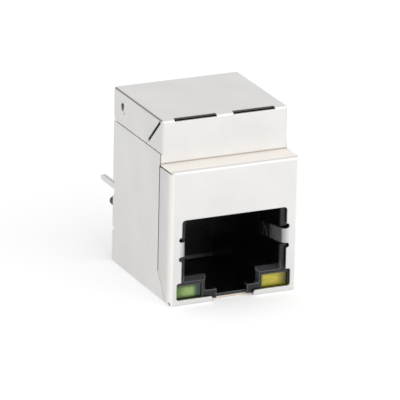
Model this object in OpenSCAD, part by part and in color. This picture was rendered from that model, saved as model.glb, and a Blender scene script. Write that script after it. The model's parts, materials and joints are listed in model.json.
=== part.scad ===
// Upright board-mount modular jack: a folded sheet shield round a moulded housing with a plug port
// and two indicator lamps below, and a bay with the coils and the small circuit board above it.
// +X is the width, -Y is the side the plug enters, +Y is the side of the circuit board, +Z is up.
// The origin is the middle of the underside. Modules measure depth (y) from the front face.

/* [Body] */
// Width over the shield
body_w = 16; // [15.8:0.1:16.3]
// Depth from the front face to the board face
body_d = 16.8; // [16.7:0.1:17.2]
// Full height
body_h = 21.7; // [21.5:0.1:21.9]
// Height of the lower front block, up to the ledge
ledge_z = 16.5; // [16.3:0.1:16.7]
// How far the upper front steps back from the lower front
ledge_d = 3.3; // [3.2:0.1:3.4]

/* [Sheet] */
// Thickness of the shield sheet
sheet_t = 0.25; // [0.2:0.01:0.28]
// Outer radius of the shield's folds
fold_r = 0.35; // [0.3:0.05:0.4]
// Width of the seams where folded edges meet
seam_w = 0.12; // [0.08:0.02:0.16]
// Width of the upright seam between a side panel and the front flap
joint_w = 0.26; // [0.2:0.02:0.3]
// Depth from the front face to the middle of that seam
seam_y = 3.72; // [3.7:0.02:3.84]
// Height of the seam under the upper band
band_z = 17.66; // [17.5:0.02:17.8]

/* [Port] */
// Width of the opening in the shield
window_w = 13.36; // [13.2:0.04:13.44]
// Height of the top edge of the opening
window_top = 10.5; // [10.3:0.1:10.6]
// Width of the lamp openings, out to out
lamp_window_w = 14.5; // [14.4:0.02:14.6]
// Width of the plug cavity
cavity_w = 12; // [11.9:0.05:12.1]
// Height of the plug cavity's floor
cavity_floor = 3.2; // [3.1:0.05:3.3]
// Height of the plug cavity's ceiling
cavity_top = 10; // [9.9:0.05:10]
// Depth of the plug cavity
cavity_d = 12.8; // [12.6:0.1:13]
// Width of the channel for the plug's latch
channel_w = 6.4; // [6.2:0.1:6.5]
// Width between the two shoulders that catch the latch
throat_w = 3.9; // [3.8:0.05:4.1]

/* [Lamps] */
// Width of a lamp
lamp_w = 3.25; // [3:0.05:3.3]
// Height of a lamp
lamp_h = 1.65; // [1.5:0.05:1.7]
// Length of a lamp
lamp_l = 5; // [4:0.1:6]
// Distance from the middle of the jack to the middle of a lamp
lamp_x = 5.5; // [5.45:0.01:5.52]

/* [Contacts] */
// Distance between neighbouring contacts
contact_pitch = 1.016; // [1.01:0.002:1.02]
// Width of a contact strip
contact_w = 0.35; // [0.3:0.01:0.4]
// Thickness of a contact strip
contact_t = 0.25; // [0.2:0.01:0.28]

/* [Board side] */
// Diameter of a locating peg
peg_d = 1.1; // [1:0.1:1.2]
// Distance between the two locating pegs
peg_spacing = 13.2; // [13.1:0.05:13.3]
// Height of the locating pegs
peg_z = 6.5; // [6.4:0.05:6.6]
// How far the pegs, pins and tails stand out of the board face
tail_l = 3.3; // [3:0.1:3.6]
// Diameter of a solder pin
pin_d = 0.5; // [0.45:0.01:0.52]
// Distance between the pins of one row
pin_pitch = 2.54; // [2.5:0.02:2.58]

/* [Coils] */
// Outer diameter of a ring core
core_d = 2.9; // [2.7:0.05:2.95]
// Inner diameter of a ring core
core_bore = 1.3; // [1.2:0.05:1.4]
// Height of a ring core
core_h = 1.7; // [1.5:0.05:1.9]
// Thickness of the winding on a core
winding_t = 0.15; // [0.12:0.01:0.16]

/* [Hidden] */
CONTACTS = 8;
PINS_PER_ROW = 5;
COILS_PER_ROW = 4;
COIL_ROWS = 2;
RESISTORS = 4;
LAMP_NAMES = ["green", "yellow"];

function numbered(name, count) = [for (i = [1:count]) str(name, "_", i)];

$fn = 32;
fold_steps = 6;         // flats in each rounded corner of an outline
past = 1;               // how far a cutter runs past what it cuts
half_w = body_w / 2;

// Shield details
clear = 0.05;           // between the shield and the mouldings
strip_h = 0.72;         // metal strips under the lamps
strip_gap = 2.62;       // half the gap between the two strips
gap_depth = 0.95;       // how far that gap runs into the bottom panel
lamp_window_top = 2.85;
window_r = 0.4;         // corner radius of the port's opening
lamp_window_r = 0.3;
notch_r = 0.3;          // round reliefs beside the spring fingers
finger_z = 6.94;
finger_root = 1.78;     // height of a finger at its root
finger_tip = 1.6;
finger_x = [6.35, 5.1, 5.45]; // where a finger turns in, turns back, and ends
finger_y = [0.125, 4.3, 5];
finger_bends = [0.45, 0.8];
kink_z = 3.3;           // where the side seam turns towards the bottom corner
seam_foot = 1.2;        // depth at which it reaches the bottom
coined = 0.08;          // thickness left where the upper front's edge is pressed thin
ledge_gap = 0.17;       // height of the gap under the end of the ledge
slit_w = 0.4;           // slit between the upper band's wing and flap
slit_top = [3.78, 21.42];
slit_foot = [6.96, 18.24];
hairline = 0.05;        // where two edges meet
slot_x = [1.05, 6.38];  // slots on the top fold, from the middle
slot_d = 0.5;           // how far they run back over the top
snap = [14.35, 19.92];  // pressed snap that locks the top's wing, depth and height
snap_r = 0.5;
snap_depth = 0.18;
snap_gap = 0.03;        // flat left between the pressed cap and the crescent's outer side
snap_cut = [0.42, 0.06]; // widest part of the crescent it is cut free along
snap_hole = [13.92, 19.26, 0.28]; // hole below it: depth, height, diameter
tail_z = [9.12, 9.68];
tail_w = 0.6;           // the doubled tail's thickness
tail_groove = 0.1;      // between its two leaves
tail_tip_r = [0.35, 0.2, 0.15];
tail_past = 0.35;       // how far the tails reach past the pins
tail_taper = [0.4, 0.25]; // cut-off lower corner of the tip: length, height
edge_relief = 0.35;     // depth of the reliefs in the back edge
tail_relief = 0.8;      // height of the one under the tail
foot_relief = [3.9, 4.5]; // the one near the foot: bottom, top
band_relief = [0.7, 1.3]; // slope above the band's seam: where it ends, where it starts
corner_hole = [0.4, 0.3, 0.5]; // hole in the bottom front corner: depth, height, diameter

// Housing details
face_y = 0.45;          // front face of the moulding
housing_back = 15.6;
frame_top = 2.75;       // front edge of the lamp frames, below the lead-in
channel_floor = 0.6;
shoulder_z = 1.4;
shoulder_back = 2.2;
lead_in = 0.15;         // sloped edges beside the port
mouth_run = 1.2;        // depth of a mouth's slope for each mm of its width
ceiling_slope = [0.9, 0.42]; // slope at the front of the port's ceiling: depth, height
lens_back = 0.1;        // from the moulding's face to a lens
frame_slope = 0.7;      // depth of the slope on top of the lamp frames
channel_lead_in = 0.35;
foot_slope = [0.18, 0.4]; // slope at the foot of the channel's end wall
finger_room = [7.1, 1.1]; // space that a finger moves in: how far out, half its height
comb_w = 12.5;
comb_z = [cavity_top, cavity_top + 1.2];
comb_front = 2.5;
comb_back = 15.2;
comb_nose = [9, 10.9, 8]; // the comb's nose at the cavity's back: width, depth, height
slot_clear = 0.2;       // slots in the comb, wider than the contacts
slot_back = 12.1;
bay_w = 13.4;
bay_front = 1.8;        // front wall of the bay, below the ledge
wall = 1.2;
lamp_z = 0.65;

// Contacts: depth and height of each bend
leg_rows = [3.2, 4.1];  // depth of the even and of the odd contacts' legs
run_z = cavity_top + 0.5;
slope_top = 5.1;        // depth where a contact turns down into the port
slope_foot = [10.3, 7.7];
contact_end = [11.8, 8.9];
contact_bends = [0.3, 0.5, 0.6];

// Circuit board, pins and coils
board_w = 12.4;
board_z = [comb_z.y, comb_z.y + 0.8];
leg_top = board_z.y + 0.3;
pin_rows = [[14.6, board_z.y + 1.2], [13.6, board_z.y + 3.74]];
pin_bend = 0.45;
pin_foot = 0.4;         // how far a pin reaches below the small board
pin_tip = 0.2;          // length of the chamfer on its end
collar_d = 0.9;
lead_pair_x = 5.2;      // middle between a lamp's two leads
lead_pitch = 2.1;
coil_pitch = 3.3;
coil_rows_y = [5.9, 9.2];
winding_arc = 300;
winding_from = 120;     // where it starts
parts_y = 11.9;         // middle of the row of small parts on the board
capacitor_size = [3.2, 1.6, 1.1];
capacitor_cap = 0.4;    // length of its metal ends
cap_step = 0.03;        // how far they stand proud of its body
resistor_size = [0.8, 1.6, 0.45];
resistor_x = [4.3, 2.9];
base_back = body_d - 0.25;
rail_size = [9, 1];     // rails on the base that touch the board
rail_z = [3.4, 19.2];
boss_d = 1.9;           // bosses at the roots of the pegs

// ---- Outlines ----

function unit(v) = v / norm(v);
function xy(p) = [p.x, p.y];

// Corner p between neighbours a and b, as an arc of radius r
function corner(a, p, b, r) = r <= 0 ? [p] :
    let(u = unit(a - p), v = unit(b - p), half = acos(u * v) / 2,
        centre = p + unit(u + v) * r / sin(half),
        from = p + u * r / tan(half) - centre,
        to = p + v * r / tan(half) - centre,
        start = atan2(from.y, from.x),
        sweep = (atan2(to.y, to.x) - start + 540) % 360 - 180)
    [for (k = [0:fold_steps]) let(a = start + sweep * k / fold_steps) centre + r * [cos(a), sin(a)]];

// A closed outline from points [x, y, corner radius]
function rounded(path) = let(n = len(path))
    [for (k = [0:n - 1])
        each corner(xy(path[(k + n - 1) % n]), xy(path[k]), xy(path[(k + 1) % n]), path[k].z)];

// An open centre line from the same kind of points
function bent(path) = let(n = len(path))
    [for (k = [0:n - 1])
        each k == 0 || k == n - 1 ? [xy(path[k])]
            : corner(xy(path[k - 1]), xy(path[k]), xy(path[k + 1]), path[k].z)];

// The outline of a strip of thickness t along a centre line
function ribbon(line, t) = let(n = len(line),
    side = [for (k = [0:n - 1])
        let(d = unit(line[min(k + 1, n - 1)] - line[max(k - 1, 0)])) [-d.y, d.x] * t / 2])
    concat([for (k = [0:n - 1]) line[k] + side[k]], [for (k = [n - 1:-1:0]) line[k] - side[k]]);

function flipped(path) = [for (k = [len(path) - 1:-1:0]) [-path[k].x, path[k].y, path[k].z]];

// ---- Placing ----

// Puts a piece measured from the front face into the jack's frame
module seat() { translate([0, -body_d / 2, 0]) children(); }
module both_sides() { children(); mirror([1, 0, 0]) children(); }
module block(low, high) { translate(low) cube(high - low); }
// Extrudes a (y, z) outline along X
module along_x(x0, x1) { translate([x0, 0, 0]) rotate([90, 0, 90]) linear_extrude(x1 - x0) children(); }
// Extrudes an (x, z) outline along Y
module along_y(y0, y1) { translate([0, y1, 0]) rotate([90, 0, 0]) linear_extrude(y1 - y0) children(); }
module rod_y(x, z, d, y0, y1) { translate([x, y0, z]) rotate([-90, 0, 0]) cylinder(d = d, h = y1 - y0); }

// ---- Shield ----

// The stepped block whose faces lie a given inset inside the shield's outer faces
module envelope(inset, back) {
    r = fold_r - inset;
    x = half_w - inset;
    y1 = ledge_d + inset;
    z1 = ledge_z - inset;
    top = body_h - inset;
    intersection() {
        along_x(-body_w, body_w) polygon(rounded([
            [inset, inset, r], [back, inset, 0], [back, top, 0],
            [y1, top, r], [y1, z1, fold_r - sheet_t + inset], [inset, z1, r]]));
        along_y(-past, back) polygon(rounded([[-x, inset, r], [x, inset, r], [x, top, r], [-x, top, r]]));
        union() {
            translate([0, 0, -past]) linear_extrude(band_z + past)
                polygon(rounded([[-x, inset, r], [x, inset, r], [x, back, 0], [-x, back, 0]]));
            translate([0, 0, band_z]) linear_extrude(body_h)
                polygon(rounded([[-x, y1, r], [x, y1, r], [x, back, 0], [-x, back, 0]]));
        }
    }
}

// The opening in the front sheet: port, lamp windows and the gap between the strips
module window_cut() {
    right = [[strip_gap, -past, 0], [strip_gap, strip_h, lamp_window_r],
        [lamp_window_w / 2, strip_h, lamp_window_r], [lamp_window_w / 2, lamp_window_top, lamp_window_r],
        [window_w / 2, lamp_window_top, 0], [window_w / 2, window_top, window_r]];
    along_y(-past, fold_r) polygon(rounded(concat(right, flipped(right))));
    block([-strip_gap, -past, -past], [strip_gap, gap_depth, sheet_t + clear]);
    both_sides() for (z = [-1, 1])
        rod_y(window_w / 2 + clear, finger_z + z * finger_root / 2 + z * notch_r, 2 * notch_r, -past, fold_r);
}

// A spring finger, bent from the edge of the opening into the port to press on the plug's shield
module spring_finger() {
    line = bent([[window_w / 2 + notch_r, finger_y[0], 0], [finger_x[0], finger_y[0], finger_bends[0]],
        [finger_x[1], finger_y[1], finger_bends[1]], [finger_x[2], finger_y[2], 0]]);
    tip_y = finger_y[2] + past;
    intersection() {
        translate([0, 0, finger_z - finger_root / 2]) linear_extrude(finger_root) polygon(ribbon(line, sheet_t));
        along_x(0, half_w) polygon([
            [-past, finger_z - finger_root / 2], [tip_y, finger_z - finger_tip / 2],
            [tip_y, finger_z + finger_tip / 2], [-past, finger_z + finger_root / 2]]);
    }
}

// The seams of one side, cut through the side sheet only
module side_seams() {
    inner = half_w - sheet_t - clear;
    under_fold = half_w - fold_r - clear;
    under_ledge = ledge_z - sheet_t;
    along_x(inner, body_w) {
        polygon(ribbon([[seam_y, under_ledge], [seam_y, kink_z]], joint_w));
        polygon(ribbon([[seam_y, kink_z + seam_w], [seam_y, kink_z], [seam_foot, -past / 4]], seam_w));
    }
    block([inner, ledge_d + sheet_t, band_z - seam_w / 2], [body_w, body_d + past, band_z + seam_w / 2]);
    // Open corner where the upper front is not folded back
    block([inner, ledge_d + coined, under_ledge - sheet_t], [body_w, seam_y - joint_w / 2 + clear, band_z]);
    block([inner, ledge_d + coined, under_ledge - sheet_t], [body_w, seam_y + joint_w / 2, under_ledge]);
    // Gap under the end of the ledge
    block([half_w - fold_r, fold_r, under_ledge - ledge_gap], [body_w, seam_y, under_ledge]);
    // Slit between the top's wing and the upper front's flap, closing to a hairline near the seam
    along_x(under_fold, body_w) polygon(ribbon([slit_top, slit_foot], slit_w));
    along_x(inner, body_w)
        polygon(ribbon([slit_foot, slit_foot + [1, -1] * (slit_foot.y - band_z)], hairline));
    // Relief at the bottom front corner
    block([under_fold, corner_hole.x, -past], [half_w - fold_r + seam_w, seam_foot, sheet_t + clear]);
    along_x(under_fold, body_w) translate(xy(corner_hole)) circle(d = corner_hole.z);
}

// Reliefs in the back edge of one side
module back_reliefs() {
    inner = half_w - sheet_t - clear;
    rear = body_d + past;
    from = body_d - edge_relief;
    // Beside the tail, at the foot of the side, and above the band's seam
    for (z = [[tail_z.x - tail_relief, tail_z.x], [tail_z.y, tail_z.y + edge_relief], foot_relief])
        block([inner, from, z.x], [body_w, rear, z.y]);
    along_x(inner, body_w)
        polygon([[from, band_z], [rear, band_z], [rear, band_z + band_relief.y], [body_d, band_z + band_relief.x]]);
}

// A solder tail: the side sheet's edge, folded double, with a tapered tip
module shield_tail() {
    root = body_d - edge_relief - clear;
    tip = body_d + tail_l + tail_past;
    difference() {
        along_x(half_w - tail_w, half_w) polygon(rounded([
            [root, tail_z.x, 0], [tip - tail_taper.x, tail_z.x, tail_tip_r[0]],
            [tip, tail_z.x + tail_taper.y, tail_tip_r[1]], [tip, tail_z.y, tail_tip_r[2]], [root, tail_z.y, 0]]));
        block([half_w - sheet_t - tail_groove, 0, tail_z.x + sheet_t], [half_w - sheet_t, tip + past, body_h]);
    }
}

// The ball whose cap, grown by some thickness, is the pressed snap
module snap_ball(grow) {
    r = (snap_r * snap_r + snap_depth * snap_depth) / (2 * snap_depth);
    translate([half_w - snap_depth + r, snap.x, snap.y]) sphere(r + grow);
}

// The crescent along which the snap is cut free, and the hole below it
module snap_cuts() {
    along_x(half_w - past, body_w) {
        difference() {
            translate(snap) circle(snap_r + snap_gap);
            translate(snap - snap_cut) circle(snap_r + snap_gap);
        }
        translate(xy(snap_hole)) circle(d = snap_hole.z);
    }
}

module shield() {
    color("gainsboro") seat() {
        difference() {
            union() {
                difference() {
                    envelope(0, body_d);
                    envelope(sheet_t, body_d + past);
                }
                both_sides() intersection() {
                    snap_ball(sheet_t);
                    block([0, 0, 0], [half_w - sheet_t / 2, body_d, body_h]);
                }
            }
            window_cut();
            both_sides() {
                side_seams();
                back_reliefs();
                snap_ball(0);
                snap_cuts();
                block([slot_x.x, 0, body_h - sheet_t - clear], [slot_x.y, ledge_d + slot_d, body_h + past]);
            }
        }
        both_sides() {
            spring_finger();
            shield_tail();
        }
    }
}

// ---- Mouldings ----

// The space for one lamp and its leads, open at the front and at the back
module lamp_pocket() {
    x = lamp_w / 2 + clear;
    block([lamp_x - x, -past, lamp_z], [lamp_x + x, body_d, lamp_z + lamp_h + clear]);
}

// Plan of a mouth that narrows to a half width over its lead-in
module sloped_mouth(half, slope) {
    polygon([[-half - slope, face_y - clear], [half + slope, face_y - clear],
        [half, face_y + mouth_run * slope], [-half, face_y + mouth_run * slope]]);
}

// The plug cavity, the latch channel under it, and the lead-in round their mouth
module port_space() {
    cavity = cavity_w / 2;
    channel = channel_w / 2;
    block([-cavity, -past, cavity_floor], [cavity, cavity_d, cavity_top]);
    block([-channel, -past, shoulder_z], [channel, cavity_d, cavity_floor + clear]);
    block([-throat_w / 2, -past, channel_floor], [throat_w / 2, shoulder_back + clear, shoulder_z + clear]);
    block([-throat_w / 2, -past, -past], [throat_w / 2, gap_depth, shoulder_z]);
    along_x(-channel, channel) polygon([
        [shoulder_back, channel_floor], [cavity_d - foot_slope.x, channel_floor],
        [cavity_d, channel_floor + foot_slope.y], [cavity_d, shoulder_z + clear],
        [shoulder_back, shoulder_z + clear]]);
    // Sloped edges at the sides, at the ceiling, above the lamps and beside the channel
    along_x(-cavity, cavity) polygon([
        [face_y - clear, cavity_top - clear], [face_y - clear, cavity_top + ceiling_slope.y],
        [face_y, cavity_top + ceiling_slope.y], [face_y + ceiling_slope.x, cavity_top],
        [face_y + ceiling_slope.x, cavity_top - clear]]);
    translate([0, 0, cavity_floor]) linear_extrude(cavity_top - cavity_floor) sloped_mouth(cavity, lead_in);
    along_x(-cavity - lead_in, cavity + lead_in) polygon([
        [face_y - past, frame_top - past * (cavity_floor - frame_top) / frame_slope],
        [face_y + frame_slope, cavity_floor], [face_y + frame_slope, cavity_floor + clear],
        [face_y - past, cavity_floor + clear]]);
    translate([0, 0, shoulder_z]) linear_extrude(cavity_floor - shoulder_z)
        sloped_mouth(channel, channel_lead_in);
}

// The bay above the port, open towards the board side
module coil_bay() {
    half = bay_w / 2;
    block([-half, bay_front, comb_z.y], [half, body_d, ledge_z - wall]);
    block([-half, ledge_d + sheet_t + wall, comb_z.y], [half, body_d, body_h - wall]);
    block([-comb_w / 2 - clear, comb_front - clear, comb_z.x], [comb_w / 2 + clear, body_d, comb_z.y + clear]);
}

module housing() {
    color("#1c1c1e") seat() difference() {
        intersection() {
            envelope(sheet_t + clear, body_d);
            block([-half_w, face_y, 0], [half_w, housing_back, body_h]);
        }
        port_space();
        coil_bay();
        // Hollow behind the port's end wall
        block([-cavity_w / 2, cavity_d + wall, cavity_floor], [cavity_w / 2, body_d, cavity_top - wall]);
        both_sides() {
            lamp_pocket();
            // Slot in which a spring finger moves aside
            block([cavity_w / 2 - clear, -past, finger_z - finger_room.y],
                [finger_room.x, finger_y[2] + wall, finger_z + finger_room.y]);
            snap_ball(sheet_t);
        }
    }
}

function contact_x(i) = (i - (CONTACTS + 1) / 2) * contact_pitch;
function leg_y(i) = leg_rows[i % 2];

// The port's ceiling behind the front wall, with a slot for each contact
module contact_comb() {
    slot = contact_w + slot_clear;
    color("#242426") seat() difference() {
        union() {
            block([-comb_w / 2, comb_front, comb_z.x], [comb_w / 2, comb_back, comb_z.y]);
            block([-comb_nose[0] / 2, comb_nose[1], comb_nose[2]],
                [comb_nose[0] / 2, cavity_d - 2 * clear, comb_z.x + clear]);
        }
        for (i = [1:CONTACTS]) translate([contact_x(i), 0, 0])
            block([-slot / 2, leg_y(i) - (contact_t + slot_clear) / 2, 0],
                [slot / 2, slot_back, comb_z.y + past]);
        for (i = [1:2 * PINS_PER_ROW]) pin_clearance(i);
    }
}

// One contact: soldered leg, horizontal run in the comb, slope into the port and upturned end
module contact(i) {
    line = bent([[leg_y(i), leg_top, 0], [leg_y(i), run_z, contact_bends[0]],
        [slope_top, run_z, contact_bends[1]], [slope_foot.x, slope_foot.y, contact_bends[2]],
        [contact_end.x, contact_end.y, 0]]);
    color("gold") seat() translate([contact_x(i), 0, 0]) along_x(-contact_w / 2, contact_w / 2)
        polygon(ribbon(line, contact_t));
}

module circuit_board() {
    color("darkgreen") seat() difference() {
        block([-board_w / 2, comb_front, board_z.x], [board_w / 2, comb_back, board_z.y]);
        for (i = [1:CONTACTS]) translate([contact_x(i), leg_y(i), board_z.x - past])
            translate([-contact_w / 2, -contact_t / 2, 0]) cube([contact_w, contact_t, past * 3]);
        for (i = [1:2 * PINS_PER_ROW]) translate([pin_x(i), pin_row(i).x, board_z.x - past])
            cylinder(d = pin_d, h = past * 3);
    }
}

// ---- Board side ----

function pin_row(i) = pin_rows[floor((i - 1) / PINS_PER_ROW)];
function pin_x(i) = (((i - 1) % PINS_PER_ROW) - (PINS_PER_ROW - 1) / 2) * pin_pitch
    + (i <= PINS_PER_ROW ? -1 : 1) * pin_pitch / 4;
function lead_x(i) = (i <= 2 ? -1 : 1) * lead_pair_x + (i % 2 == 1 ? -1 : 1) * lead_pitch / 2;
lead_z = lamp_z + lamp_h / 2;

// A pin's straight end, with the collar that holds it in the base
module pin_end(x, z, from) {
    rod_y(x, z, pin_d, from, body_d + tail_l - pin_tip);
    rod_y(x, z, collar_d, housing_back + 2 * clear, base_back);
    translate([x, body_d + tail_l - pin_tip, z]) rotate([-90, 0, 0])
        cylinder(d1 = pin_d, d2 = pin_d - pin_tip, h = pin_tip);
}

module pin_clearance(i) {
    translate([pin_x(i), pin_row(i).x, comb_z.x - past]) cylinder(d = pin_d + slot_clear, h = past * 3);
}

// A pin from the small board: up through it, round a bend and out through the base
module signal_pin(i) {
    x = pin_x(i);
    y = pin_row(i).x;
    z = pin_row(i).y;
    color("silver") seat() {
        translate([x, y, board_z.x - pin_foot]) cylinder(d = pin_d, h = z - pin_bend - board_z.x + pin_foot);
        translate([x, y + pin_bend, z - pin_bend]) rotate([90, 0, -90])
            rotate_extrude(angle = 90) translate([pin_bend, 0]) circle(d = pin_d);
        pin_end(x, z, y + pin_bend);
    }
}

module lamp_lead(i) {
    color("silver") seat() pin_end(lead_x(i), lead_z, face_y + lens_back + lamp_l);
}

// The plate that closes the board side, carries the pins and has the locating pegs
module pin_base() {
    half = half_w - sheet_t - 2 * clear;
    color("#1c1c1e") seat() difference() {
        union() {
            block([-half, housing_back, sheet_t + clear], [half, base_back, body_h - sheet_t - 2 * clear]);
            for (z = rail_z)
                block([-rail_size.x / 2, base_back - clear, z - rail_size.y / 2],
                    [rail_size.x / 2, body_d, z + rail_size.y / 2]);
            both_sides() {
                rod_y(peg_spacing / 2, peg_z, boss_d, base_back - clear, body_d);
                rod_y(peg_spacing / 2, peg_z, peg_d, base_back, body_d + tail_l - peg_d / 2);
                translate([peg_spacing / 2, body_d + tail_l - peg_d / 2, peg_z]) sphere(d = peg_d);
            }
        }
        for (i = [1:2 * PINS_PER_ROW]) pin_hole(pin_x(i), pin_row(i).y);
        for (i = [1:2 * len(LAMP_NAMES)]) pin_hole(lead_x(i), lead_z);
        both_sides() block([half_w - tail_w - 2 * clear, 0, tail_z.x - clear],
            [body_w, body_d + past, tail_z.y + clear]);
    }
}

module pin_hole(x, z) { rod_y(x, z, collar_d, housing_back - past, body_d + past); }

// ---- Lamps, coils and small parts ----

module lamp(side) {
    tint = side < 0 ? "limegreen" : "gold";
    color(tint) seat() block([side * lamp_x - lamp_w / 2, face_y + lens_back, lamp_z],
        [side * lamp_x + lamp_w / 2, face_y + lens_back + lamp_l, lamp_z + lamp_h]);
}

function coil_at(i) = [
    (((i - 1) % COILS_PER_ROW) - (COILS_PER_ROW - 1) / 2) * coil_pitch,
    coil_rows_y[floor((i - 1) / COILS_PER_ROW)],
    board_z.y];

module ring_section(grow) {
    translate([core_bore / 2 - grow, winding_t - grow])
        square([(core_d - core_bore) / 2 + 2 * grow, core_h + 2 * grow]);
}

module ring_core(i) {
    color("dimgray") seat() translate(coil_at(i)) rotate_extrude() ring_section(0);
}

// Wire wound round most of the ring, as one sleeve
module winding(i) {
    color("peru") seat() translate(coil_at(i)) rotate([0, 0, winding_from]) rotate_extrude(angle = winding_arc)
        difference() {
            ring_section(winding_t);
            ring_section(0);
        }
}

module isolation_capacitor() {
    size = capacitor_size;
    cap = capacitor_cap;
    color("tan") seat() translate([-size.x / 2, parts_y - size.y / 2, board_z.y]) {
        translate([cap, cap_step, cap_step])
            cube([size.x - 2 * cap, size.y - 2 * cap_step, size.z - 2 * cap_step]);
        for (x = [0, size.x - cap]) translate([x, 0, 0]) cube([cap, size.y, size.z]);
    }
}

module resistor(i) {
    size = resistor_size;
    x = (i <= 2 ? -1 : 1) * resistor_x[i % 2];
    color("#202024") seat() translate([x - size.x / 2, parts_y - size.y / 2, board_z.y]) cube(size);
}

shield();
housing();
contact_comb();
circuit_board();
pin_base();
isolation_capacitor();
for (i = [1:CONTACTS]) contact(i);
for (i = [1:2 * PINS_PER_ROW]) signal_pin(i);
for (k = [0:1]) lamp(2 * k - 1);
for (i = [1:2 * len(LAMP_NAMES)]) lamp_lead(i);
for (i = [1:COILS_PER_ROW * COIL_ROWS]) ring_core(i);
for (i = [1:COILS_PER_ROW * COIL_ROWS]) winding(i);
for (i = [1:RESISTORS]) resistor(i);
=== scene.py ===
"""Upright board-mount modular jack: finishes, lamps, coils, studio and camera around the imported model.

Sizes in the classes are millimetres in the jack's own frame: +X is the width, -Y the side the plug
enters, +Z up, and the origin is the middle of the underside. They become metres only where a mesh or a
node needs them.
"""

import json
import logging
import math
from dataclasses import dataclass
from enum import Enum
from typing import Any, Iterable, Mapping, Sequence

import bmesh
import bpy
from mathutils import Matrix, Vector

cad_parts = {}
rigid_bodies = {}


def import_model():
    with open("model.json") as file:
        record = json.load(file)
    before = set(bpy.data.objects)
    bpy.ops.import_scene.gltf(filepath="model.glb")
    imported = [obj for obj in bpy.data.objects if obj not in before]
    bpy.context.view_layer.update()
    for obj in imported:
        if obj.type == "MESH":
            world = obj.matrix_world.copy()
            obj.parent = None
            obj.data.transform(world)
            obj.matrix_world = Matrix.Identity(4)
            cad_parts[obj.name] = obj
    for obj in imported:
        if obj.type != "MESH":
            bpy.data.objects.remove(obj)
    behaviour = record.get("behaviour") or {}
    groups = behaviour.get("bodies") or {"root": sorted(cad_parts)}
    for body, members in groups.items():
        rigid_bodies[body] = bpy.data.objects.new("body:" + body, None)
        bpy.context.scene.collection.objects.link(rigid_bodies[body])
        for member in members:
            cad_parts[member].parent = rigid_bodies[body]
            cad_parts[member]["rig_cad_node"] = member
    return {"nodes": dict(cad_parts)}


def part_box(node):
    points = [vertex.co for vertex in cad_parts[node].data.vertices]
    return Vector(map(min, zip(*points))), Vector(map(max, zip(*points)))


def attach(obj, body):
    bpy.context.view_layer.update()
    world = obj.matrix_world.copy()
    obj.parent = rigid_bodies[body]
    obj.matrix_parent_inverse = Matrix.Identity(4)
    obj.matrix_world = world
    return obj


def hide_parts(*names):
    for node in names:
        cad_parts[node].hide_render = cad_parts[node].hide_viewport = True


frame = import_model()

LOG = logging.getLogger("jack")
MM = 0.001

Colour = tuple[float, float, float, float]
Point = tuple[float, float, float]
Span = tuple[float, float]

FULL: Span = (0.0, 1.0)
NOISE_MIDDLE: Span = (0.3, 0.7)


# ---- Colours and nodes ----


def linear(code: str) -> Colour:
    """Turn an sRGB colour code into the linear colour that nodes take.

    Args:
        code: Six hexadecimal digits, with or without a leading "#".

    Returns:
        Red, green, blue and an alpha of 1, all linear.
    """
    digits = code.lstrip("#")
    channels = [int(digits[i : i + 2], 16) / 255 for i in (0, 2, 4)]
    red, green, blue = (c / 12.92 if c <= 0.04045 else ((c + 0.055) / 1.055) ** 2.4 for c in channels)
    return red, green, blue, 1.0


def add_node(
    tree: bpy.types.NodeTree,
    kind: str,
    inputs: Mapping[Any, Any] | None = None,
    **settings: Any,
) -> Any:
    """Add one node, with its settings and its inputs.

    Args:
        tree: The node tree that gets the node.
        kind: The node's type, such as "ShaderNodeBump".
        inputs: For each input's name or number, a socket to link or a constant to set.
        settings: Attributes of the node itself.

    Returns:
        The new node.
    """
    node = tree.nodes.new(kind)
    for name, value in settings.items():
        setattr(node, name, value)
    for key, value in (inputs or {}).items():
        if isinstance(value, bpy.types.NodeSocket):
            tree.links.new(value, node.inputs[key])
        else:
            node.inputs[key].default_value = value
    return node


@dataclass(frozen=True)
class Reach:
    """How far a point of the jack lies into its depth, across from its middle and up, in millimetres."""

    into: bpy.types.NodeSocket
    across: bpy.types.NodeSocket
    height: bpy.types.NodeSocket


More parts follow.
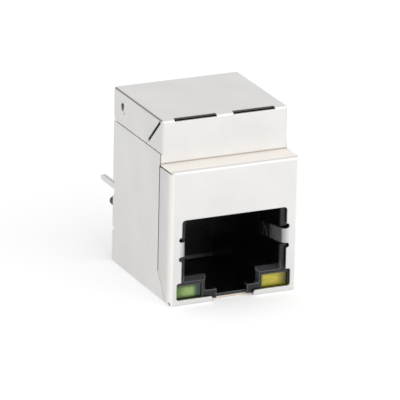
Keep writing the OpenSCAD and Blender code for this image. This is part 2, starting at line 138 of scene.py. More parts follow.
class Shading:
    """The node tree of one material, with its patterns measured in millimetres on the object."""

    def __init__(self, name: str) -> None:
        """Start an empty material.

        Args:
            name: The material's name.
        """
        self.material = bpy.data.materials.new(name)
        self.material.use_nodes = True
        self.tree = self.material.node_tree
        self.tree.nodes.clear()
        self.place = self.node("ShaderNodeTexCoord").outputs["Object"]

    def node(self, kind: str, inputs: Mapping[Any, Any] | None = None, **settings: Any) -> Any:
        """Add a node to this material; see add_node for the arguments."""
        return add_node(self.tree, kind, inputs, **settings)

    def math(self, operation: str, a: Any, b: Any = 0.0, clamp: bool = False) -> bpy.types.NodeSocket:
        """Combine two values.

        Args:
            operation: A Math node operation, such as "MULTIPLY".
            a: The first socket or number.
            b: The second socket or number.
            clamp: Whether to keep the result from 0 to 1.

        Returns:
            The result's socket.
        """
        node = self.node("ShaderNodeMath", {0: a, 1: b}, operation=operation, use_clamp=clamp)
        return node.outputs[0]

    def stretched(self, scale: Point) -> bpy.types.NodeSocket:
        """Return object coordinates with each axis scaled, for patterns drawn out along one of them."""
        node = self.node("ShaderNodeMapping", {"Vector": self.place, "Scale": scale})
        return node.outputs["Vector"]

    def noise(self, size_mm: float, detail: float = 3.0, vector: Any = None) -> bpy.types.NodeSocket:
        """Return noise whose features are about size_mm across.

        Args:
            size_mm: Feature size in millimetres.
            detail: How many finer octaves are added.
            vector: Coordinates, or None for the object's own.

        Returns:
            A value around 0.5.
        """
        node = self.node(
            "ShaderNodeTexNoise",
            {
                "Vector": vector or self.place,
                "Scale": 1 / (size_mm * MM),
                "Detail": detail,
                "Roughness": 0.55,
            },
        )
        return node.outputs["Fac"]

    def remap(self, value: Any, low: float, high: float, source: Span = NOISE_MIDDLE) -> bpy.types.NodeSocket:
        """Carry a value from a source range to low..high, clamped.

        Args:
            value: The socket to carry over.
            low: The result at the source range's start.
            high: The result at its end.
            source: The source range.

        Returns:
            The result's socket.
        """
        node = self.node(
            "ShaderNodeMapRange",
            {"Value": value, "From Min": source[0], "From Max": source[1], "To Min": low, "To Max": high},
        )
        return node.outputs["Result"]

    def product(self, *values: Any) -> bpy.types.NodeSocket:
        """Multiply values together, in the order given.

        Args:
            values: Two or more sockets or numbers, the first of them a socket.

        Returns:
            The product's socket.
        """
        result = values[0]
        for value in values[1:]:
            result = self.math("MULTIPLY", result, value)
        return result

    def past(self, value: Any, span: Span) -> bpy.types.NodeSocket:
        """Return a mask that rises from 0 to 1 over a span."""
        return self.remap(value, 0.0, 1.0, span)

    def before(self, value: Any, span: Span) -> bpy.types.NodeSocket:
        """Return a mask that falls from 1 to 0 over a span."""
        return self.remap(value, 1.0, 0.0, span)

    def blend(self, factor: Any, first: Any, second: Any) -> bpy.types.NodeSocket:
        """Mix two colours by a factor.

        Args:
            factor: 0 for the first colour, 1 for the second.
            first: A socket or a linear colour.
            second: A socket or a linear colour.

        Returns:
            The mixed colour's socket.
        """
        node = self.node("ShaderNodeMix", {"Factor": factor}, data_type="RGBA")
        for key, value in (("A", first), ("B", second)):
            socket = [s for s in node.inputs if s.name == key and s.type == "RGBA"][0]
            if isinstance(value, bpy.types.NodeSocket):
                self.tree.links.new(value, socket)
            else:
                socket.default_value = value
        return [s for s in node.outputs if s.type == "RGBA"][0]

    def axis(self, name: str) -> bpy.types.NodeSocket:
        """Return one object coordinate, in millimetres."""
        split = self.node("ShaderNodeSeparateXYZ", {0: self.place})
        return self.math("MULTIPLY", split.outputs[name], 1 / MM)

    def reach(self, depth_mm: float) -> Reach:
        """Return a point's place on the jack, with its depth counted from the front face.

        Args:
            depth_mm: The shield's whole depth, front to back.

        Returns:
            The three distances.
        """
        into = self.math("ADD", self.axis("Y"), depth_mm / 2)
        return Reach(into, self.math("ABSOLUTE", self.axis("X")), self.axis("Z"))

    def between(self, value: Any, low: float, high: float, soft: float = 0.02) -> bpy.types.NodeSocket:
        """Return a mask of 1 where a value lies in a range, with soft ends.

        Args:
            value: The socket to test.
            low: The range's start.
            high: The range's end.
            soft: Half the width of each soft end.

        Returns:
            The mask's socket.
        """
        rise = self.past(value, (low - soft, low + soft))
        fall = self.before(value, (high - soft, high + soft))
        return self.product(rise, fall)

    def bump(
        self,
        height: Any,
        depth_mm: float,
        strength: float = 1.0,
        normal: Any = None,
    ) -> bpy.types.NodeSocket:
        """Return a normal disturbed by a height pattern.

        Args:
            height: The pattern, from 0 to 1.
            depth_mm: How deep the pattern is at full strength.
            strength: The share of that depth.
            normal: A normal to build on, or None.

        Returns:
            The normal's socket.
        """
        inputs = {"Height": height, "Distance": depth_mm * MM, "Strength": strength}
        if normal is not None:
            inputs["Normal"] = normal
        return self.node("ShaderNodeBump", inputs).outputs["Normal"]

    def rounded_edges(self, radius_mm: float) -> bpy.types.NodeSocket:
        """Return a normal that turns smoothly over edges, as if they had this radius."""
        return self.node("ShaderNodeBevel", {"Radius": radius_mm * MM}, samples=6).outputs["Normal"]

    def true_normal(self) -> bpy.types.NodeSocket:
        """Return the surface's own normal."""
        return self.node("ShaderNodeNewGeometry").outputs["Normal"]

    def finish(self, shader: Any) -> bpy.types.Material:
        """Connect a shader node to the material's output and return the material."""
        self.node("ShaderNodeOutputMaterial", {"Surface": shader.outputs[0]})
        return self.material


# ---- Finishes ----


@dataclass(frozen=True)
class PlatedSheet:
    """Cold-rolled copper alloy sheet with a satin nickel plating, blanked and folded."""

    # The satin plating gives a soft grey mirror, which carries light and shade but no sharp picture. Its
    # grain is drawn coarser than it is, so that it shows.
    colour: str = "#dfdedd"
    worn: str = "#d9d8d7"
    roughness: float = 0.5
    roughness_spread: float = 0.01
    grain_mm: float = 0.07
    mottle_mm: float = 6.0
    edge_radius_mm: float = 0.1

    # Blanked edges show the warmer alloy. The rest is painted light and shade: thin darker lines of painted
    # dark reflection along the top folds and of painted shade along the slots' cut lips, painted shade on the
    # flaps, in the crease and on the fingers deep in the port, and a painted reflection that brightens the
    # ledge and its rims.
    cut_edge: str = "#d9cdc0"
    painted_shade: str = "#8f8c8a"
    painted_corner_shade: str = "#a89a8b"
    painted_reflection: str = "#f3efe9"
    shaded: str = "#5f5d5b"
    painted_port_shade: str = "#3a3837"

    # Where they lie: depths from the front face, distances across from the middle, heights from below. How
    # strong each is, and how the fingers and flaps darken, was set from the front left.
    depth_mm: float = 16.8
    line_mm: float = 0.06
    fold_at_mm: Span = (7.65, 21.35)
    fold_band_mm: Span = (0.45, 0.485)
    fold_start_mm: Span = (3.4, 3.6)
    gap_across_mm: Span = (2.66, 2.71)
    gap_depth_mm: float = 0.95
    gap_height_mm: Span = (0.3, 0.35)
    slot_across_mm: Span = (1.05, 6.38)
    slot_depth_mm: Span = (3.76, 3.812)
    slot_soft_mm: float = 0.008
    slot_height_mm: Span = (21.35, 21.4)
    step_mm: Span = (3.22, 16.56)
    crease_width_mm: float = 0.1
    crease_strength: float = 0.75
    shelf_start_mm: float = 0.35
    shelf_drop_mm: float = 0.25
    shelf_soft_mm: float = 0.05
    rim_depth_mm: Span = (0.3, 1.4)
    rim_height_mm: Span = (16.1, 16.3)
    side_mm: Span = (7.7, 7.8)
    flap_height_mm: Span = (16.3, 16.5)
    flap_depth_mm: Span = (0.3, 3.6)
    flap_strength: float = 0.2
    seam_low_mm: float = 1.2
    seam_rise_mm: Span = (0.0, 3.3)
    seam_soft_mm: float = 0.02
    finger_height_mm: Span = (5.9, 8.0)
    finger_depth_mm: Span = (0.9, 2.9)
    finger_inside_mm: Span = (6.9, 7.0)
    finger_bend_mm: Span = (6.45, 7.05)
    finger_bend_shade: float = 0.4
    streak_mm: float = 0.3
    streak_along: Point = (1.0, 1.0, 0.15)
    streak_shades: Span = (0.5, 1.7)
    streak_span: Span = (0.35, 0.65)

    def top_fold(self, s: Shading, at: Reach) -> bpy.types.NodeSocket:
        """Return a mask of the painted dark reflection along the fold between the top and each side."""
        corner = s.math("SUBTRACT", s.math("ADD", at.across, at.height), sum(self.fold_at_mm))
        return s.product(s.past(corner, self.fold_band_mm), s.past(at.into, self.fold_start_mm))

    def gap_edge(self, s: Shading, at: Reach) -> bpy.types.NodeSocket:
        """Return a mask of the blanked edge under the latch channel.

        Args:
            s: The material under construction.
            at: Where each point lies on the jack.

        Returns:
            The mask's socket.
        """
        line = s.between(at.into, self.gap_depth_mm - self.line_mm, self.gap_depth_mm + self.line_mm)
        middle = s.before(at.across, self.gap_across_mm)
        return s.product(line, middle, s.before(at.height, self.gap_height_mm))

    def slot_edge(self, s: Shading, at: Reach) -> bpy.types.NodeSocket:
        """Return a mask of the shaded lip along the slots in the top's front fold.

        Args:
            s: The material under construction.
            at: Where each point lies on the jack.

        Returns:
            The mask's socket.
        """
        line = s.between(at.into, *self.slot_depth_mm, self.slot_soft_mm)
        length = s.between(at.across, *self.slot_across_mm)
        return s.product(line, length, s.past(at.height, self.slot_height_mm))

    def crease(self, s: Shading, at: Reach) -> bpy.types.NodeSocket:
        """Return a mask of the painted shade, in a brownish grey, in the inner corner where the step's ledge
        meets the upper front.

        Args:
            s: The material under construction.
            at: Where each point lies on the jack.

        Returns:
            The mask's socket.
        """
        depth, height = self.step_mm
        line = s.between(at.into, depth - self.line_mm, depth + self.crease_width_mm)
        level = s.between(at.height, height - self.line_mm, height + self.line_mm)
        return s.product(line, level, self.crease_strength)

    def shelf(self, s: Shading, at: Reach) -> bpy.types.NodeSocket:
        """Return a mask of the painted reflection on the step's ledge and the rim that turns down from it at
        each side.

        Args:
            s: The material under construction.
            at: Where each point lies on the jack.

        Returns:
            The mask's socket.
        """
        depth, height = self.step_mm
        flat = s.product(
            s.between(at.into, self.shelf_start_mm, depth - self.crease_width_mm, self.shelf_soft_mm),
            s.between(at.height, height - self.shelf_drop_mm, height + self.line_mm),
        )
        rim = s.product(
            s.before(at.into, self.rim_depth_mm),
            s.past(at.across, self.side_mm),
            s.before(at.height, self.rim_height_mm),
        )
        return s.math("MAXIMUM", flat, rim)

    def flap(self, s: Shading, at: Reach) -> bpy.types.NodeSocket:
        """Return a mask of the painted shade on the side flap, which darkens it towards its slanting seam.

        Args:
            s: The material under construction.
            at: Where each point lies on the jack.

        Returns:
            The mask's socket.
        """
        seam = s.remap(at.height, self.seam_low_mm, self.flap_depth_mm[1], self.seam_rise_mm)
        ahead = s.before(s.math("SUBTRACT", at.into, seam), (0.0, self.seam_soft_mm))
        face = s.product(s.before(at.height, self.flap_height_mm), s.past(at.across, self.side_mm))
        return s.product(face, ahead, s.past(at.into, self.flap_depth_mm), self.flap_strength)

    def finger(self, s: Shading, at: Reach) -> bpy.types.NodeSocket:
        """Return a mask of the painted shade on the spring fingers, which deepens past their bend and as they
        go in, broken into streaks.

        Args:
            s: The material under construction.
            at: Where each point lies on the jack.

        Returns:
            The mask's socket.
        """
        drawn = s.noise(self.streak_mm, 3, s.stretched(self.streak_along))
        inner = s.product(
            s.past(at.into, self.finger_depth_mm),
            s.remap(drawn, *self.streak_shades, self.streak_span),
            s.before(at.across, self.finger_inside_mm),
        )
        bend = s.remap(at.across, self.finger_bend_shade, 0.0, self.finger_bend_mm)
        shade = s.math("MAXIMUM", inner, bend)
        return s.math("MULTIPLY", shade, s.between(at.height, *self.finger_height_mm), True)

    def material(self, name: str) -> bpy.types.Material:
        """Build the material.

        Args:
            name: The material's name.

        Returns:
            The material.
        """
        s = Shading(name)
        at = s.reach(self.depth_mm)
        grain = s.noise(self.grain_mm, 4, s.stretched((1.0, 1.0, 0.06)))
        mottle = s.noise(self.mottle_mm, 2)
        colour = s.blend(s.past(mottle, NOISE_MIDDLE), linear(self.colour), linear(self.worn))
        colour = s.blend(s.remap(grain, 0.0, 0.25, (0.4, 0.8)), colour, linear(self.worn))
        # Every blend below paints light or shade into the colour, except the cut edge, which is the alloy's
        # own.
        for mask, shade in (
            (self.flap, self.painted_shade),
            (self.shelf, self.painted_reflection),
            (self.gap_edge, self.cut_edge),
            (self.crease, self.painted_corner_shade),
            (self.top_fold, self.painted_shade),
            (self.finger, self.painted_port_shade),
            (self.slot_edge, self.shaded),
        ):
            colour = s.blend(mask(s, at), colour, linear(shade))
        low, high = self.roughness - self.roughness_spread, self.roughness + self.roughness_spread
        rough = s.math("ADD", s.remap(grain, -0.03, 0.03), s.remap(mottle, low, high))
        normal = s.bump(grain, 0.001, 0.4, s.rounded_edges(self.edge_radius_mm))
        shader = s.node(
            "ShaderNodeBsdfPrincipled",
            {"Base Color": colour, "Metallic": 1.0, "Roughness": rough, "Normal": normal},
        )
        return s.finish(shader)


@dataclass(frozen=True)
class MouldedPlastic:
    """Glass-filled black polyester, moulded against a lightly eroded steel face."""

    # The eroded mould leaves a fine grain, so light spreads in soft grey patches over deep black.
    colour: str = "#070708"
    pale: str = "#0b0b0c"
    roughness: float = 0.32
    grain_mm: float = 0.05
    flow_mm: float = 1.6
    edge_radius_mm: float = 0.1

    # A painted highlight makes the edges of the frames round the lamps read paler, and the frames' tops too.
    painted_highlight: str = "#8f9096"
    highlight_radius_mm: float = 0.22
    highlight_strength: float = 0.7
    highlight_turn: Span = (0.8, 0.99)
    frame_depth_mm: Span = (0.9, 1.3)
    frame_height_mm: Span = (3.5, 3.7)
    frame_top_mm: Span = (2.7, 3.3)
    frame_top_depth_mm: Span = (0.5, 1.3)
    frame_top_strength: float = 0.12

    # What only shows through the shield's slits is kept dull.
    depth_mm: float = 16.8
    open_gloss: float = 0.5
    covered_gloss: float = 0.1
    covered_height_mm: Span = (15.0, 15.2)
    covered_across_mm: Span = (7.5, 7.6)
    covered_depth_mm: Span = (13.0, 14.0)

    def highlights(self, s: Shading, at: Reach) -> bpy.types.NodeSocket:
        """Return a mask of the painted highlight on the edges and tops of the frames round the lamps.

        Args:
            s: The material under construction.
            at: Where each point lies on the jack.

        Returns:
            The mask's socket.
        """
        wide = s.rounded_edges(self.highlight_radius_mm)
        facing = s.node("ShaderNodeVectorMath", {0: wide, 1: s.true_normal()}, operation="DOT_PRODUCT")
        frames = s.product(s.before(at.into, self.frame_depth_mm), s.before(at.height, self.frame_height_mm))
        turned = s.remap(facing.outputs["Value"], self.highlight_strength, 0.0, self.highlight_turn)
        edge = s.product(turned, frames)
        level = s.between(at.height, *self.frame_top_mm)
        top = s.product(level, s.between(at.into, *self.frame_top_depth_mm, 0.1), self.frame_top_strength)
        return s.math("MAXIMUM", edge, top)

    def covered(self, s: Shading, at: Reach) -> bpy.types.NodeSocket:
        """Return a mask of what only shows through the shield's slits.

        Args:
            s: The material under construction.
            at: Where each point lies on the jack.

        Returns:
            The mask's socket.
        """
        above = s.past(at.height, self.covered_height_mm)
        beside = s.past(at.across, self.covered_across_mm)
        return s.product(s.math("MAXIMUM", above, beside), s.before(at.into, self.covered_depth_mm))

    def material(self, name: str) -> bpy.types.Material:
        """Build the material.

        Args:
            name: The material's name.

        Returns:
            The material.
        """
        s = Shading(name)
        at = s.reach(self.depth_mm)
        grain = s.noise(self.grain_mm, 2)
        flow = s.noise(self.flow_mm, 2, s.stretched((1.0, 0.5, 1.0)))
        colour = s.blend(s.past(flow, NOISE_MIDDLE), linear(self.colour), linear(self.pale))
        # Painted highlight on the frames' edges and tops.
        colour = s.blend(self.highlights(s, at), colour, linear(self.painted_highlight))
        low, high = self.roughness - 0.04, self.roughness + 0.05
        rough = s.math("ADD", s.remap(grain, -0.04, 0.04), s.remap(flow, low, high))
        shader = s.node(
            "ShaderNodeBsdfPrincipled",
            {
                "Base Color": colour,
                "Roughness": rough,
                "IOR": 1.5,
                "Specular IOR Level": s.remap(self.covered(s, at), self.open_gloss, self.covered_gloss, FULL),
                "Normal": s.bump(grain, 0.003, 0.3, s.rounded_edges(self.edge_radius_mm)),
            },
        )
        return s.finish(shader)


@dataclass(frozen=True)
class DrawnMetal:
    """A plated wire or strip with the fine lines of drawing or stamping along one axis."""

    # The lines spread a highlight across the wire, and handling leaves slightly duller patches.
    colour: str
    shade: str
    roughness: float
    along: Point = (1.0, 0.05, 1.0)
    line_mm: float = 0.04
    tarnish_mm: float = 0.9
    edge_radius_mm: float = 0.03

    def material(self, name: str) -> bpy.types.Material:
        """Build the material.

        Args:
            name: The material's name.

        Returns:
            The material.
        """
        s = Shading(name)
        lines = s.noise(self.line_mm, 3, s.stretched(self.along))
        tarnish = s.noise(self.tarnish_mm, 3)
        colour = s.blend(s.past(tarnish, NOISE_MIDDLE), linear(self.colour), linear(self.shade))
        rough = s.remap(lines, self.roughness - 0.06, self.roughness + 0.08)
        normal = s.bump(lines, 0.002, 0.5, s.rounded_edges(self.edge_radius_mm))
        shader = s.node(
            "ShaderNodeBsdfPrincipled",
            {"Base Color": colour, "Metallic": 1.0, "Roughness": rough, "Normal": normal},
        )
        return s.finish(shader)


class Side(Enum):
    """The two sides of the jack, by the sign of X."""

    LEFT = -1
    RIGHT = 1


@dataclass(frozen=True)
class LensEpoxy:
    """Tinted, slightly milky epoxy of a lamp, cast in a mirror-finished cup, with a painted glow where the
    die's cup sits.
    """

    # The milk scatters light inside the lens, so it glows evenly, while its skin keeps a soft gloss. Its
    # colour
    # carries painted light: a brighter core stands for the light the die's cup sends back through the milk,
    # and painted shade darkens the outer end, the crown and the foot. Distances run outwards from the jack's
    # middle.
    body: str
    # core colours the painted glow; end the painted shade at the outer end and crown, and the cast streaks;
    # foot the painted shade along the foot.
    core: str
    end: str
    foot: str
    core_mm: Span
    core_spread_mm: Span
    end_mm: Span
    cast_along: Point = (1.0, 1.0, 0.3)
    crown_shade: float = 0.6
    crown_mm: Span = (1.95, 2.3)
    foot_shade: float = 0.95
    foot_mm: Span = (0.75, 1.15)
    milk_mm: float = 0.35
    milk_spread: float = 0.18
    core_fade: Span = (0.0, 1.3)
    cast_mm: float = 0.4
    cast_shade: float = 0.35
    cast_span: Span = (0.45, 0.75)

    def glow(self, s: Shading, outward: Any, height: Any, milk: Any) -> bpy.types.NodeSocket:
        """Return a mask of the painted glow in front of the die's cup.

        Args:
            s: The material under construction.
            outward: The distance from the jack's middle.
            height: The height above the underside.
            milk: A pattern that clouds the patch's outline.

        Returns:
            The mask's socket.
        """
        away = []
        for place, middle, spread in zip((outward, height), self.core_mm, self.core_spread_mm):
            offset = s.math("DIVIDE", s.math("SUBTRACT", place, middle), spread)
            away.append(s.math("POWER", offset, 2.0))
        cloud = s.remap(milk, -self.milk_spread, self.milk_spread)
        return s.before(s.math("ADD", s.math("ADD", *away), cloud), self.core_fade)

    def material(self, name: str, side: Side) -> bpy.types.Material:
        """Build the material.

        Args:
            name: The material's name.
            side: The side of the jack that the lens is on.

        Returns:
            The material.
        """
        s = Shading(name)
        outward = s.math("MULTIPLY", s.axis("X"), float(side.value))
        height = s.axis("Z")
        milk = s.noise(self.milk_mm, 3)
        cast = s.noise(self.cast_mm, 3, s.stretched(self.cast_along))
        # Painted light: a brighter core in front of the die's cup, then painted shade at the outer end, the
        # crown and the foot; the cast streaks between them are the epoxy's own tone.
        colour = s.blend(self.glow(s, outward, height, milk), linear(self.body), linear(self.core))
        colour = s.blend(s.past(outward, self.end_mm), colour, linear(self.end))
        colour = s.blend(s.remap(height, 0.0, self.crown_shade, self.crown_mm), colour, linear(self.end))
        colour = s.blend(s.remap(cast, 0.0, self.cast_shade, self.cast_span), colour, linear(self.end))
        colour = s.blend(s.remap(height, self.foot_shade, 0.0, self.foot_mm), colour, linear(self.foot))
        shader = s.node(
            "ShaderNodeBsdfPrincipled",
            {
                "Base Color": colour,
                "Roughness": s.remap(milk, 0.1, 0.2),
                "IOR": 1.54,
                "Transmission Weight": 0.15,
                "Subsurface Weight": 0.3,
                "Subsurface Radius": (0.4, 0.5, 0.2),
                "Subsurface Scale": 0.6 * MM,
                "Normal": s.bump(s.noise(0.5, 2), 0.01, 0.4),
            },
        )
        return s.finish(shader)


@dataclass(frozen=True)
class SolderMask:
    """Glass-fibre laminate under a green mask, with copper tracks showing through as a lighter green."""

    # The mask is a thin lacquer with a soft gloss, slightly rippled by the weave and the tracks under it.
    mask: str = "#12492c"
    track: str = "#1d6a3d"
    roughness: float = 0.32
    track_mm: float = 1.1
    track_share: float = 0.12
    weave_mm: float = 0.12

    def material(self, name: str) -> bpy.types.Material:
        """Build the material.

        Args:
            name: The material's name.

        Returns:
            The material.
        """
        s = Shading(name)
        cells = s.node(
            "ShaderNodeTexBrick",
            {"Vector": s.place, "Scale": 1 / (self.track_mm * MM), "Mortar Size": self.track_share},
        )
        tracks = cells.outputs["Fac"]
        weave = s.noise(self.weave_mm, 2)
        shader = s.node(
            "ShaderNodeBsdfPrincipled",
            {
                "Base Color": s.blend(tracks, linear(self.mask), linear(self.track)),
                "Roughness": s.remap(weave, self.roughness - 0.05, self.roughness + 0.06),
                "IOR": 1.55,
                "Normal": s.bump(tracks, 0.03, 0.6, s.bump(weave, 0.006, 0.4)),
            },
        )
        return s.finish(shader)


@dataclass(frozen=True)
class FiredCeramic:
    """A fired body, matt and finely grained, with metal caps where a cap width is given."""

    # The grain of the pressed powder takes the shine off and leaves faint flecks.
    colour: str
    fleck: str
    roughness: float = 0.6
    cap_from_mm: float | None = None
    cap_colour: str = "#cfccc7"
    cap_soft_mm: float = 0.01
    grain_mm: float = 0.06

    def material(self, name: str) -> bpy.types.Material:
        """Build the material.

        Args:
            name: The material's name.

        Returns:
            The material.
        """
        s = Shading(name)
        grain = s.noise(self.grain_mm, 4)
        colour = s.blend(s.past(grain, (0.45, 0.75)), linear(self.colour), linear(self.fleck))
        inputs = {"Roughness": s.remap(grain, self.roughness - 0.08, self.roughness + 0.08), "IOR": 1.7}
        if self.cap_from_mm is not None:
            reach = s.math("ABSOLUTE", s.axis("X"))
            cap = s.past(reach, (self.cap_from_mm - self.cap_soft_mm, self.cap_from_mm + self.cap_soft_mm))
            colour = s.blend(cap, colour, linear(self.cap_colour))
            inputs["Metallic"] = cap
        inputs["Base Color"] = colour
        inputs["Normal"] = s.bump(grain, 0.006, 0.6)
        return s.finish(s.node("ShaderNodeBsdfPrincipled", inputs))


@dataclass(frozen=True)
class EnamelledCopper:
    """Copper magnet wire under a clear amber enamel."""

    # The enamel is a hard clear coat, so the warm metal has a sharper highlight over its own soft one.
    colour: str = "#c4632f"
    dark: str = "#8c3d1c"
    tone_mm: float = 0.3
    turn_mm: float = 0.03

    def material(self, name: str) -> bpy.types.Material:
        """Build the material.

        Args:
            name: The material's name.

        Returns:
            The material.
        """
        s = Shading(name)
        tone = s.noise(self.tone_mm, 3)
        shader = s.node(
            "ShaderNodeBsdfPrincipled",
            {
                "Base Color": s.blend(s.past(tone, NOISE_MIDDLE), linear(self.colour), linear(self.dark)),
                "Metallic": 1.0,
                "Roughness": s.remap(tone, 0.22, 0.32),
                "Coat Weight": 0.8,
                "Coat Roughness": 0.12,
                "Normal": s.bump(s.noise(self.turn_mm, 2), 0.002, 0.4),
            },
        )
        return s.finish(shader)


# Per lens: body is the tint, core the painted glow, end the painted shade at the outer end and crown and the
# tone of the cast streaks, foot the painted shade along the foot.
GREEN_LENS = LensEpoxy(
    body="#719146",
    core="#aecb79",
    end="#1b4231",
    foot="#38401c",
    core_mm=(5.35, 1.5),
    core_spread_mm=(1.3, 0.7),
    end_mm=(5.0, 4.4),
)
YELLOW_LENS = LensEpoxy(
    body="#c6b82b",
    core="#e0d34a",
    end="#55540a",
    foot="#7c7c00",
    core_mm=(4.6, 1.75),
    core_spread_mm=(1.8, 0.8),
    end_mm=(5.9, 6.9),
    cast_along=(0.25, 1.0, 1.5),
    crown_shade=0.25,
)


# ---- Sub-assemblies ----


def node_object(name: str) -> bpy.types.Object:
    """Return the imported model's object for a node."""
    return frame["nodes"][name]


def dress(names: Iterable[str], material: bpy.types.Material) -> None:
    """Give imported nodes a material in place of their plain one.

    Args:
        names: The nodes' names.
        material: The material for all of them.
    """
    for name in names:
        node = node_object(name)
        node.data.materials.clear()
        node.data.materials.append(material)


def numbered(name: str, count: int) -> list[str]:
    """Return the names of a series of nodes, from 1."""
    return [f"{name}_{i}" for i in range(1, count + 1)]


def add_piece(
    name: str,
    mesh: bmesh.types.BMesh,
    material: bpy.types.Material,
) -> bpy.types.Object:
    """Make an object of a finished mesh, on the jack's one body.

    Args:
        name: The piece's name.
        mesh: Its geometry in metres, in the jack's frame.
        material: Its finish.

    Returns:
        The new object.
    """
    data = bpy.data.meshes.new(name)
    mesh.to_mesh(data)
    mesh.free()
    data.materials.append(material)
    piece = bpy.data.objects.new(name, data)
    bpy.context.scene.collection.objects.link(piece)
    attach(piece, "root")
    return piece


@dataclass
class Shield:
    """The folded shield with its spring fingers and tails."""

    finish: PlatedSheet = PlatedSheet()

    def build(self) -> list[str]:
        """Finish the shield and return its node."""
        dress(["shield"], self.finish.material("satin_nickel"))
        return ["shield"]


@dataclass
class Mouldings:
    """The housing, the comb over the port and the base that carries the pins."""

    housing: MouldedPlastic = MouldedPlastic()
    insert: MouldedPlastic = MouldedPlastic(colour="#0c0c0d", pale="#141415", roughness=0.45)

    def build(self) -> list[str]:
        """Finish the mouldings.

        Returns:
            The names of the nodes.
        """
        dress(["housing", "pin_base"], self.housing.material("black_polyester"))
        dress(["contact_comb"], self.insert.material("black_insert_polyester"))
        return ["housing", "pin_base", "contact_comb"]


@dataclass
class Lamp:
    """One lamp: a lens with softly rounded edges in its pocket beside the latch channel."""

    side: Side
    name: str
    finish: LensEpoxy
    radius_mm: float = 0.12
    segments: int = 3

    def build(self) -> list[str]:
        """Make the lens in its node's place.

        Returns:
            The new piece's name, in a list.
        """
        node = f"lamp_{self.name}"
        low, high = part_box(node)
        mesh = bmesh.new()
        bmesh.ops.create_cube(mesh, size=1.0)
        size = high - low
        middle = (low + high) / 2
        placed = Matrix.Translation(middle) @ Matrix.Diagonal((*size, 1.0))
        bmesh.ops.transform(mesh, matrix=placed, verts=mesh.verts)
        bmesh.ops.bevel(
            mesh,
            geom=list(mesh.edges),
            offset=self.radius_mm * MM,
            segments=self.segments,
            profile=0.5,
            affect="EDGES",
        )
        for face in mesh.faces:
            face.smooth = True
        epoxy = self.finish.material(f"{self.name}_epoxy", self.side)
        piece = add_piece(f"{node}_lens", mesh, epoxy)
        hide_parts(node)
        return [piece.name]


@dataclass
class Conductors:
    """The contacts in the port, the pins of the board side and the lamps' leads."""

    gold: DrawnMetal = DrawnMetal("#f2c76b", "#dcae52", 0.24, (0.05, 1.0, 1.0))
    tin: DrawnMetal = DrawnMetal("#dddbd6", "#c3c0bb", 0.3)

    def build(self) -> list[str]:
        """Finish the conductors.

        Returns:
            The names of the nodes.
        """
        contacts = numbered("contact", 8)
        wires = numbered("signal_pin", 10) + numbered("lamp_lead", 4)
        dress(contacts, self.gold.material("gold_over_nickel"))
        dress(wires, self.tin.material("bright_tin"))
        return contacts + wires


@dataclass
class CoilBay:
    """The small circuit board in the bay over the port, with its coils and small parts."""

    board: SolderMask = SolderMask()
    ferrite: FiredCeramic = FiredCeramic("#34353a", "#4a4b52", 0.55)
    capacitor: FiredCeramic = FiredCeramic("#9c7b57", "#b39470", 0.5, cap_from_mm=1.2)
    resistor: FiredCeramic = FiredCeramic("#17171a", "#2a2a2f", 0.45)
    wire: EnamelledCopper = EnamelledCopper()

    def build(self) -> list[str]:
        """Finish the bay's pieces.

        Returns:
            The names of the nodes.
        """
        cores = numbered("ring_core", 8)
        windings = numbered("winding", 8)
        resistors = numbered("resistor", 4)
        dress(["circuit_board"], self.board.material("green_solder_mask"))
        dress(cores, self.ferrite.material("ferrite"))
        dress(windings, self.wire.material("enamelled_copper"))
        dress(["isolation_capacitor"], self.capacitor.material("tan_ceramic"))
        dress(resistors, self.resistor.material("black_glaze"))
        return ["circuit_board", "isolation_capacitor", *cores, *windings, *resistors]


# ---- Studio ----


def direction(azimuth: float, elevation: float) -> Vector:
    """Return the unit vector from the jack towards a place round it.

    Args:
        azimuth: Degrees round from the front, positive to the right.
        elevation: Degrees above the floor.

    Returns:
        The unit vector.
    """
    a, e = math.radians(azimuth), math.radians(elevation)
    return Vector((math.sin(a) * math.cos(e), -math.cos(a) * math.cos(e), math.sin(e)))


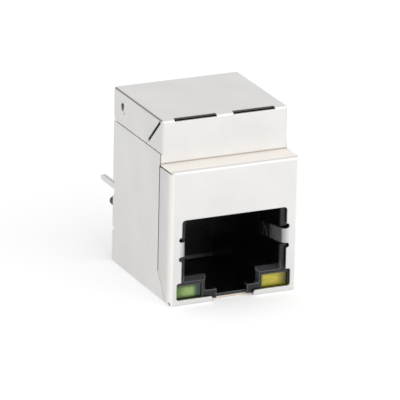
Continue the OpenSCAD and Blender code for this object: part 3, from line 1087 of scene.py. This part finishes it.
@dataclass
class Studio:
    """A pale floor, a soft world and one broad lamp in front on the right."""

    floor_radius_mm: float = 400.0
    floor_colour: str = "#e8e8e8"
    sky: float = 0.72
    key_radiance: float = 0.85
    key_size_mm: Span = (420.0, 300.0)
    floor_glow: float = 0.39
    key_azimuth: float = 25.0
    key_elevation: float = 20.0
    key_distance_mm: float = 260.0
    key_rise_mm: float = 10.0
    floor_sides: int = 96
    floor_below_mm: float = 0.01

    def clear(self) -> None:
        """Remove whatever a new Blender file starts with."""
        for item in list(bpy.data.objects):
            if "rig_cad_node" not in item and not item.name.startswith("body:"):
                bpy.data.objects.remove(item)

    def world(self) -> None:
        """Set a plain pale light that the camera, metal and glass all see as white."""
        world = bpy.data.worlds.new("soft_light")
        world.use_nodes = True
        tree = world.node_tree
        tree.nodes.clear()
        path = add_node(tree, "ShaderNodeLightPath")
        mirrored = add_node(
            tree,
            "ShaderNodeMath",
            {0: path.outputs["Is Glossy Ray"], 1: path.outputs["Is Transmission Ray"]},
            operation="MAXIMUM",
        )
        seen = add_node(
            tree,
            "ShaderNodeMath",
            {0: path.outputs["Is Camera Ray"], 1: mirrored.outputs[0]},
            operation="MAXIMUM",
        )
        strength = add_node(
            tree,
            "ShaderNodeMapRange",
            {"Value": seen.outputs[0], "To Min": self.sky, "To Max": 1.0},
        )
        light = add_node(
            tree,
            "ShaderNodeBackground",
            {"Color": linear("#ffffff"), "Strength": strength.outputs["Result"]},
        )
        add_node(tree, "ShaderNodeOutputWorld", {"Surface": light.outputs[0]})
        bpy.context.scene.world = world

    def floor(self) -> None:
        """Lay a round pale floor that takes the jack's shadow."""
        s = Shading("pale_floor")
        path = s.node("ShaderNodeLightPath")
        matt = s.node("ShaderNodeBsdfDiffuse", {"Color": linear(self.floor_colour)})
        mirrored = s.math("MAXIMUM", path.outputs["Is Glossy Ray"], path.outputs["Is Transmission Ray"])
        seen = s.math("MAXIMUM", path.outputs["Is Camera Ray"], mirrored)
        glow = s.node("ShaderNodeEmission", {"Strength": s.math("MULTIPLY", seen, self.floor_glow)})
        both = s.node("ShaderNodeAddShader", {0: matt.outputs[0], 1: glow.outputs[0]})
        material = s.finish(both)
        mesh = bmesh.new()
        radius = self.floor_radius_mm * MM
        bmesh.ops.create_circle(mesh, cap_ends=True, segments=self.floor_sides, radius=radius)
        bmesh.ops.translate(mesh, verts=mesh.verts, vec=(0, 0, -self.floor_below_mm * MM))
        data = bpy.data.meshes.new("floor")
        mesh.to_mesh(data)
        mesh.free()
        data.materials.append(material)
        ground = bpy.data.objects.new("floor", data)
        bpy.context.scene.collection.objects.link(ground)

    def key(self) -> None:
        """Hang the broad lamp and turn it to the jack."""
        away = direction(self.key_azimuth, self.key_elevation)
        width, height = (side * MM for side in self.key_size_mm)
        light = bpy.data.lights.new("softbox", "AREA")
        light.shape = "RECTANGLE"
        light.size, light.size_y = width, height
        light.energy = self.key_radiance * math.pi * width * height
        lamp = bpy.data.objects.new("softbox", light)
        lamp.location = away * self.key_distance_mm * MM + Vector((0, 0, self.key_rise_mm * MM))
        lamp.rotation_euler = away.to_track_quat("Z", "Y").to_euler()
        lamp.visible_camera = False
        bpy.context.scene.collection.objects.link(lamp)

    def build(self) -> None:
        """Set up the world, the floor and the lamp."""
        self.world()
        self.floor()
        self.key()
        bpy.context.scene.view_settings.view_transform = "Standard"


@dataclass
class ViewCamera:
    """A long lens that looks down on the port from the front left."""

    azimuth: float = -25.02
    elevation: float = 19.53
    roll: float = 1.27
    distance_mm: float = 577.0
    lens_mm: float = 446.5
    sensor_mm: float = 36.0
    clip_start_m: float = 0.01
    aim_mm: Point = (-1.39, -1.69, 10.15)

    def build(self) -> None:
        """Make the camera and choose it for the scene."""
        azimuth, roll = math.radians(self.azimuth), math.radians(self.roll)
        back = direction(self.azimuth, self.elevation)
        right = Vector((math.cos(azimuth), math.sin(azimuth), 0.0))
        up = back.cross(right)
        across = right * math.cos(roll) + up * math.sin(roll)
        upright = up * math.cos(roll) - right * math.sin(roll)
        place = (Vector(self.aim_mm) + back * self.distance_mm) * MM
        data = bpy.data.cameras.new("camera")
        data.sensor_width = self.sensor_mm
        data.lens = self.lens_mm
        data.clip_start = self.clip_start_m
        camera = bpy.data.objects.new("camera", data)
        turn = Matrix((across, upright, back)).transposed().to_4x4()
        camera.matrix_world = Matrix.Translation(place) @ turn
        bpy.context.scene.collection.objects.link(camera)
        bpy.context.scene.camera = camera


def main() -> None:
    """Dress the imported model, build the added pieces and set up the studio."""
    logging.basicConfig(level=logging.INFO, format="%(name)s: %(message)s")
    studio = Studio()
    studio.clear()
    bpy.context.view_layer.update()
    assemblies = [
        Shield(),
        Mouldings(),
        Lamp(Side.LEFT, "green", GREEN_LENS),
        Lamp(Side.RIGHT, "yellow", YELLOW_LENS),
        Conductors(),
        CoilBay(),
    ]
    for assembly in assemblies:
        pieces = assembly.build()
        for piece in pieces:
            LOG.info("%s: %s", type(assembly).__name__, piece)
    studio.build()
    ViewCamera().build()


if __name__ == "__main__":
    main()
